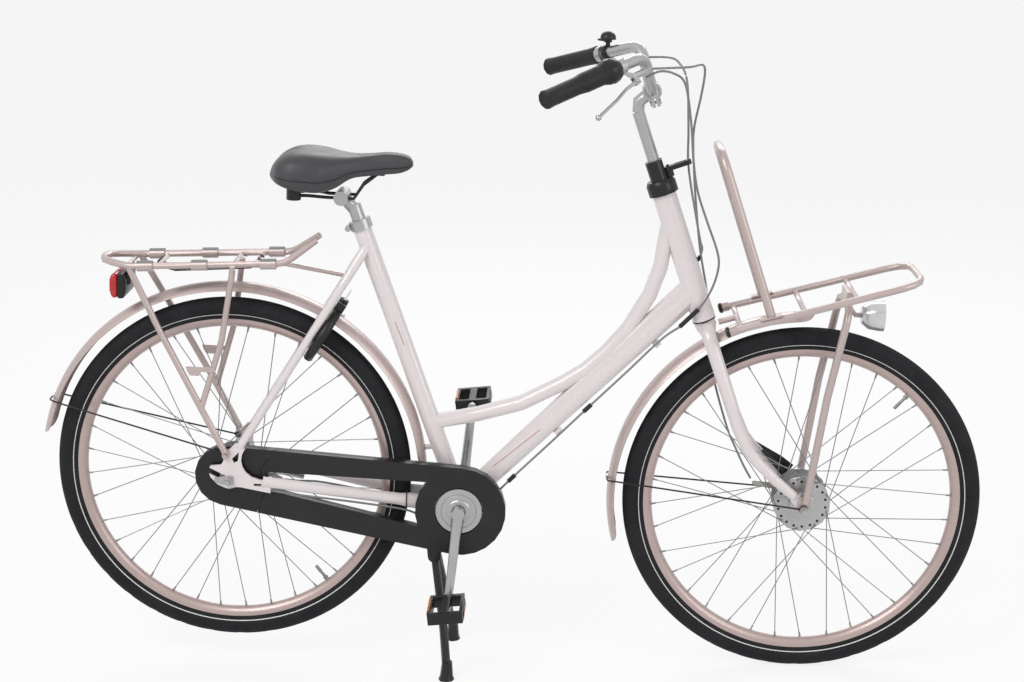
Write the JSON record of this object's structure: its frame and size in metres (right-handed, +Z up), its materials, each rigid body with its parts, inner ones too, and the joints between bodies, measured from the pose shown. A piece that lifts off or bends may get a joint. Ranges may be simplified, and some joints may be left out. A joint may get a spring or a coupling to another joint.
{
  "type": "dutch city bike",
  "caption": "Step-through city bicycle with full chaincase, mudguards, hub gear and hub brakes, front and rear carriers, lamps, ring lock and a centre stand.",
  "frame": {"origin": "middle of the bounding box's base: on the ground under the bicycle, at its mid-plane", "axes": "+X to the front of the bicycle, +Y to its left, +Z up"},
  "size_m": [1.8436, 0.5298, 1.2507],
  "materials": {
    "pale_paint": "satin",
    "rose_paint": "satin",
    "black_paint": "satin",
    "silver_alloy": "satin",
    "chain_steel": "satin",
    "bright_steel": "polished",
    "tyre_black": "matte",
    "grip_rubber": "matte",
    "strap_rubber": "matte",
    "black_plastic": "matte",
    "cable_grey": "satin",
    "lamp_silver": "gloss",
    "lamp_red": "gloss",
    "lamp_clear": "gloss",
    "saddle_skin": "satin",
    "rose_alloy": "satin"
  },
  "bodies": {
    "frame_body": {"frame": "pale_paint", "seat_clamp": "silver_alloy", "headset_lower": "black_paint", "rear_brake": "silver_alloy", "bottom_bracket": "black_paint", "chaincase": "black_plastic", "chaincase_cap": "black_plastic", "chain": "chain_steel", "mudguard_rear": "rose_paint", "rear_carrier": "rose_paint", "carrier_strap": "strap_rubber", "tail_lamp_body": "black_plastic", "tail_lamp_lens": "lamp_red", "stand_bracket": "black_paint", "ring_lock": "black_plastic", "lower_brake_cable": "cable_grey", "gear_cable": "cable_grey", "rear_brake_cable": "cable_grey"},
    "steering": {"fork": "pale_paint", "stem_collar": "black_paint", "front_brake": "silver_alloy", "mudguard_front": "rose_paint", "front_carrier": "rose_paint", "upright_hoop": "rose_paint", "headlamp_body": "lamp_silver", "headlamp_lens": "lamp_clear", "front_brake_cable": "cable_grey"},
    "stem_body": {"stem": "silver_alloy", "handlebar": "silver_alloy", "grip_left": "grip_rubber", "grip_right": "grip_rubber", "shifter_housing": "black_plastic", "brake_bracket_left": "silver_alloy", "brake_bracket_right": "silver_alloy", "bell": "black_plastic"},
    "stem_lever_body": {"stem_lever": "black_paint"},
    "twist_grip_body": {"twist_grip": "grip_rubber"},
    "brake_lever_right_body": {"brake_lever_right": "silver_alloy"},
    "brake_lever_left_body": {"brake_lever_left": "silver_alloy"},
    "bell_lever_body": {"bell_lever": "black_plastic"},
    "front_brake_arm_body": {"front_brake_arm": "chain_steel"},
    "rear_brake_arm_body": {"rear_brake_arm": "chain_steel"},
    "front_wheel": {"front_tyre": "tyre_black", "front_rim": "rose_alloy", "front_hub": "silver_alloy"},
    "rear_wheel": {"rear_tyre": "tyre_black", "rear_rim": "rose_alloy", "rear_hub": "silver_alloy"},
    "crank": {"chainring": "chain_steel", "crank_right": "silver_alloy", "crank_left": "silver_alloy"},
    "sprocket_body": {"sprocket": "chain_steel"},
    "pedal_right_body": {"pedal_right": "black_plastic"},
    "pedal_left_body": {"pedal_left": "black_plastic"},
    "stand": {"stand_legs": "black_paint"},
    "shackle": {"lock_shackle": "bright_steel"},
    "key": {"lock_key": "bright_steel"},
    "seat": {"seat_post": "silver_alloy", "saddle_base": "black_plastic", "saddle_cover": "saddle_skin"}
  },
  "joints": [
    {"name": "steering_turn", "type": "hinge", "parent": "frame_body", "child": "steering", "pos_m": [0.37176, 0, 0.71742], "axis": [-0.3167, 0, 0.9485], "range_deg": [-70, 70], "deforming": ["rear_brake_cable", "gear_cable"]},
    {"name": "stem_slide", "type": "slide", "parent": "steering", "child": "stem_body", "axis": [-0.3167, 0, 0.9485], "range_m": [-0.08, 0.05], "deforming": ["front_brake_cable"]},
    {"name": "stem_lever_turn", "type": "hinge", "parent": "steering", "child": "stem_lever_body", "pos_m": [0.3023, 0, 0.99396], "axis": [-0.3167, 0, 0.9485], "range_deg": [0, 70]},
    {"name": "brake_lever_right_pull", "type": "hinge", "parent": "stem_body", "child": "brake_lever_right_body", "pos_m": [0.23022, -0.14522, 1.18958], "axis": [-0.3744, 0.6848, -0.6252], "range_deg": [0, 15], "stiffness_Nm_per_rad": 0.5, "springref_deg": -11.46},
    {"name": "brake_lever_left_pull", "type": "hinge", "parent": "stem_body", "child": "brake_lever_left_body", "pos_m": [0.19963, 0.17143, 1.17919], "axis": [0.3744, 0.6848, 0.6252], "range_deg": [0, 15], "stiffness_Nm_per_rad": 0.5, "springref_deg": -11.46},
    {"name": "twist_grip_turn", "type": "hinge", "parent": "stem_body", "child": "twist_grip_body", "pos_m": [0.07022, -0.25, 1.17062], "axis": [0.7353, 0.63, 0.2498], "range_deg": [-60, 60]},
    {"name": "bell_lever_flick", "type": "hinge", "parent": "stem_body", "child": "bell_lever_body", "pos_m": [0.18369, 0.15392, 1.23768], "axis": [0.046, 0, 0.9989], "range_deg": [-25, 0], "stiffness_Nm_per_rad": 0.005, "springref_deg": 5.73},
    {"name": "front_brake_arm_pull", "type": "hinge", "parent": "steering", "child": "front_brake_arm_body", "pos_m": [0.53762, 0.0414, 0.36125], "axis": [0, 1, 0], "range_deg": [0, 8]},
    {"name": "rear_brake_arm_pull", "type": "hinge", "parent": "frame_body", "child": "rear_brake_arm_body", "pos_m": [-0.51042, 0.0573, 0.38447], "axis": [0, 1, 0], "range_deg": [-8, 0]},
    {"name": "front_wheel_turn", "type": "hinge", "parent": "steering", "child": "front_wheel", "pos_m": [0.57117, 0, 0.3507], "axis": [0, 1, 0], "continuous": true},
    {"name": "rear_wheel_turn", "type": "hinge", "parent": "frame_body", "child": "rear_wheel", "pos_m": [-0.54765, 0, 0.4022], "axis": [0, 1, 0], "continuous": true},
    {"name": "crank_turn", "type": "hinge", "parent": "frame_body", "child": "crank", "pos_m": [-0.1001, 0, 0.33855], "axis": [0, 1, 0], "continuous": true, "deforming": ["chain"]},
    {"name": "sprocket_turn", "type": "hinge", "parent": "frame_body", "child": "sprocket_body", "pos_m": [-0.54765, 0, 0.4022], "axis": [0, 1, 0], "continuous": true},
    {"name": "pedal_right_turn", "type": "hinge", "parent": "crank", "child": "pedal_right_body", "pos_m": [-0.11974, -0.085, 0.16969], "axis": [0, 1, 0], "continuous": true},
    {"name": "pedal_left_turn", "type": "hinge", "parent": "crank", "child": "pedal_left_body", "pos_m": [-0.08046, 0.085, 0.50741], "axis": [0, 1, 0], "continuous": true},
    {"name": "stand_fold", "type": "hinge", "parent": "frame_body", "child": "stand", "pos_m": [-0.15097, 0, 0.23378], "axis": [0, 1, 0], "range_deg": [0, 95]},
    {"name": "lock_shackle_turn", "type": "hinge", "parent": "frame_body", "child": "shackle", "pos_m": [-0.36459, 0, 0.68157], "axis": [-0.8364, 0, 0.5481], "range_deg": [0, 88]},
    {"name": "lock_key_turn", "type": "hinge", "parent": "frame_body", "child": "key", "pos_m": [-0.316, 0, 0.7558], "axis": [0.5481, 0, 0.8364], "range_deg": [-90, 0]},
    {"name": "seat_slide", "type": "slide", "parent": "frame_body", "child": "seat", "axis": [-0.3167, 0, 0.9485], "range_m": [-0.015, 0.08]}
  ],
  "couplings": [
    {"joint": "sprocket_turn", "follows": "crank_turn", "ratio": 1.5},
    {"joint": "front_brake_arm_pull", "follows": "brake_lever_right_pull", "ratio": 0.47},
    {"joint": "rear_brake_arm_pull", "follows": "brake_lever_left_pull", "ratio": -0.47}
  ]
}
